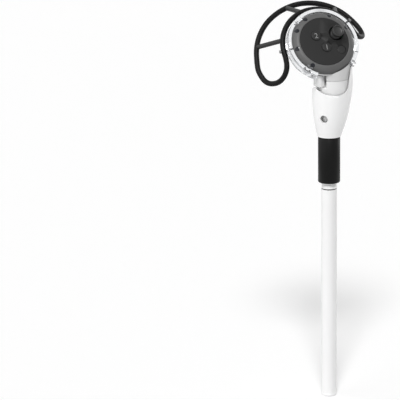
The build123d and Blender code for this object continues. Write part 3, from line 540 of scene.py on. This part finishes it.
def thumbCap(look):
    # rows go down the shaft's bore, out under the brim, round the rim and over to the dished middle;
    # each corner is its radius, its level and how deep the ribs are there
    top, low, rim, neck = look["top"], look["top"] - look["thick"], look["radius"], look["neck"]
    dish = look["dish"]
    profile = np.array([
        (0, look["boreTop"], 0), (look["bore"], look["boreTop"], 0), (look["bore"], look["neckLow"], 0),
        (neck, look["neckLow"], 0), (neck, low - 0.6, 0), (neck + 0.5, low - 0.05, 0), (rim - 1.5, low, 0),
        (rim - 0.5, low + 0.2, 0), (rim - 0.1, low + 0.7, 0.6), (rim, low + 1.2, 1), (rim, top - 1.3, 1),
        (rim - 0.1, top - 0.8, 1), (rim - 0.4, top - 0.3, 0.7), (rim - 0.9, top - 0.02, 0.2),
        (rim - 1.4, top - 0.1, 0), (rim - 1.8, top - 0.6 * dish, 0), (3.0, top - 0.85 * dish, 0),
        (1.5, top - 0.95 * dish, 0), (0, top - dish, 0),
    ], float)
    place = np.linspace(0, len(profile) - 1, look["rows"])
    radius, level, ribbed = (np.interp(place, np.arange(len(profile)), column) for column in profile.T)
    turn = 2 * math.pi * np.arange(look["columns"]) / look["columns"]
    wave = 0.5 + 0.5 * np.cos(look["ribs"] * turn)
    radius = radius[:, None] - look["rib"] * ribbed[:, None] * wave
    x = look["at"][0] + radius * np.cos(turn)
    y = look["at"][1] + radius * np.sin(turn)
    z = np.repeat(level[:, None], look["columns"], axis=1)
    return onFace(np.stack([x, y, z], axis=-1))


capTop = gridPiece("thumb_cap", thumbCap(stickCap))
dress(capTop, bodyOf["stick_cap"], "black_rubber", "stick_cap")
print("thumb cap:", len(capTop.data.polygons), "faces")

# curved CAD pieces that show, shaded smooth

shown = [
    "foot_cap", "threaded_ferrule", "collar", "holder_cup", "handle_body", "neck_shroud", "battery_door",
    "handle_lens", "sensor_ring", "sensor_windows", "face_plate", "upper_button", "lower_button",
    "menu_button", "head_housing", "stick_boot", "trigger", "trigger_cheeks", "grip_button", "cradle_ring",
    "guard_struts", "guard_screws",
]
for node in shown:
    smoothCopy("smooth_" + node, node)
print("smooth pieces:", len(shown))

# plain numerals on the two thumb buttons

numerals = {
    "height": 7.4, "thick": 0.04, "level": 0.9, "shades": (0.28, 0.224), "wear": 0.8,
    "rough": 0.45, "roughSpan": 0.1,
    "marks": (("2", "upper_button", (-7.9, 6.3)), ("1", "lower_button", (1.0, -6.4))),
}


def numeralFinish(look):
    # printed ink, thinner in places
    material, place = startMaterial("numeral_ink")
    wear = noise(place, look["wear"], fineDetail)
    sockets = {
        "Base Color": blendColours(wear, *look["shades"]),
        "Roughness": look["rough"] + wear * look["roughSpan"],
    }
    return endMaterial(material, place, sockets)


inkMaterial = numeralFinish(numerals)
for mark, body, at in numerals["marks"]:
    letter = bpy.data.curves.new("ink_" + body, "FONT")
    letter.body = mark
    letter.size = numerals["height"]
    letter.align_x = "CENTER"
    letter.align_y = "CENTER"
    letter.extrude = numerals["thick"]
    drawn = bpy.data.objects.new("drawn_" + body, letter)
    bpy.context.scene.collection.objects.link(drawn)
    bpy.context.view_layer.update()
    mesh = bpy.data.meshes.new_from_object(drawn.evaluated_get(bpy.context.evaluated_depsgraph_get()))
    bpy.data.objects.remove(drawn)
    count = len(mesh.vertices)
    flat = np.empty(count * 3)
    mesh.vertices.foreach_get("co", flat)
    flat = flat.reshape(-1, 3)
    flat[:, :2] -= (flat[:, :2].max(axis=0) + flat[:, :2].min(axis=0)) / 2
    placed = onFace(flat + np.array((*at, numerals["level"])))
    mesh.vertices.foreach_set("co", placed.ravel())
    mesh.update()
    obj = bpy.data.objects.new("numeral_" + body, mesh)
    bpy.context.scene.collection.objects.link(obj)
    wearSurface(obj, inkMaterial)
    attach(obj, bodyOf[body])
print("numerals set")

# studio: pale floor, soft light, camera

studio = {
    "floor": 4.0, "floorShade": 0.96, "whiteShare": 0.25, "white": 1.44, "fill": 0.12,
    "lamps": (
        {"name": "key", "turn": -4.5, "climb": 48.0, "size": 14.0, "power": 2.2},
        {"name": "side", "turn": -78.0, "climb": 20.0, "size": 80.0, "power": 1.38},
        {"name": "rim", "turn": 125.0, "climb": 12.0, "size": 40.0, "power": 1.0},
    ),
}


def seenDirectly(place):
    # 1 on rays that the eye follows: straight, mirrored or through something clear
    kinds = ("Is Camera Ray", "Is Glossy Ray", "Is Transmission Ray")
    sight, glossy, through = (place.node("ShaderNodeLightPath", output=kind) for kind in kinds)
    return place.maths("MAXIMUM", place.maths("MAXIMUM", sight, glossy), through)


def floorFinish(look):
    # matte white with the shadow kept, lifted towards full white where it is seen directly
    material, place = startMaterial("studio_floor")
    matte = place.node("ShaderNodeBsdfDiffuse", {}, {"Color": grey(look["floorShade"])})
    glow = place.node("ShaderNodeEmission", {}, {"Color": grey(1.0), "Strength": look["white"]})
    share = seenDirectly(place) * look["whiteShare"]
    mixed = place.node("ShaderNodeMixShader", {}, {0: share, 1: matte, 2: glow})
    place.node("ShaderNodeOutputMaterial", {}, {"Surface": mixed})
    return material


def lightWorld(look):
    world = bpy.data.worlds.new("studio_world")
    world.use_nodes = True
    world.node_tree.nodes.clear()
    start = Value(world.node_tree, None)
    plain = start.node("ShaderNodeBackground", {}, {"Color": grey(1.0), "Strength": look["fill"]})
    white = start.node("ShaderNodeBackground", {}, {"Color": grey(1.0), "Strength": 1.0})
    mixed = start.node("ShaderNodeMixShader", {}, {0: seenDirectly(start), 1: plain, 2: white})
    start.node("ShaderNodeOutputWorld", {}, {"Surface": mixed})
    bpy.context.scene.world = world


half = studio["floor"]
floorMesh = bpy.data.meshes.new("studio_floor")
corners = [(-half, -half, 0.0), (half, -half, 0.0), (half, half, 0.0), (-half, half, 0.0)]
floorMesh.from_pydata(corners, [], [(0, 1, 2, 3)])
floorObject = bpy.data.objects.new("studio_floor", floorMesh)
bpy.context.scene.collection.objects.link(floorObject)
wearSurface(floorObject, floorFinish(studio))
lightWorld(studio)

shot = {
    "at": (-0.818, -2.322, 0.87125), "yaw": 16.341, "pitch": -15.018, "roll": -0.751,
    "lens": 224.6, "sensor": 36.0, "farthest": 50.0,
}
cameraData = bpy.data.cameras.new("camera")
cameraData.lens = shot["lens"]
cameraData.sensor_width = shot["sensor"]
cameraData.clip_end = shot["farthest"]
camera = bpy.data.objects.new("camera", cameraData)
bpy.context.scene.collection.objects.link(camera)
yaw = Matrix.Rotation(-math.radians(shot["yaw"]), 4, "Z")
pitch = Matrix.Rotation(math.radians(90 + shot["pitch"]), 4, "X")
roll = Matrix.Rotation(math.radians(shot["roll"]), 4, "Z")
camera.matrix_world = Matrix.Translation(shot["at"]) @ yaw @ pitch @ roll
bpy.context.scene.camera = camera

# each lamp is a wide soft sun: turn is counted from the camera's side, to the right, and climb from the floor
for lamp in studio["lamps"]:
    light = bpy.data.lights.new(lamp["name"], "SUN")
    light.angle = math.radians(lamp["size"])
    light.energy = lamp["power"]
    holder = bpy.data.objects.new(lamp["name"], light)
    turn = math.radians(-90.0 - shot["yaw"] + lamp["turn"])
    climb = math.radians(lamp["climb"])
    towards = Vector((math.cos(climb) * math.cos(turn), math.cos(climb) * math.sin(turn), math.sin(climb)))
    holder.rotation_euler = towards.to_track_quat("Z", "Y").to_euler()
    bpy.context.scene.collection.objects.link(holder)
bpy.context.scene.view_settings.view_transform = "Standard"
print("studio set")
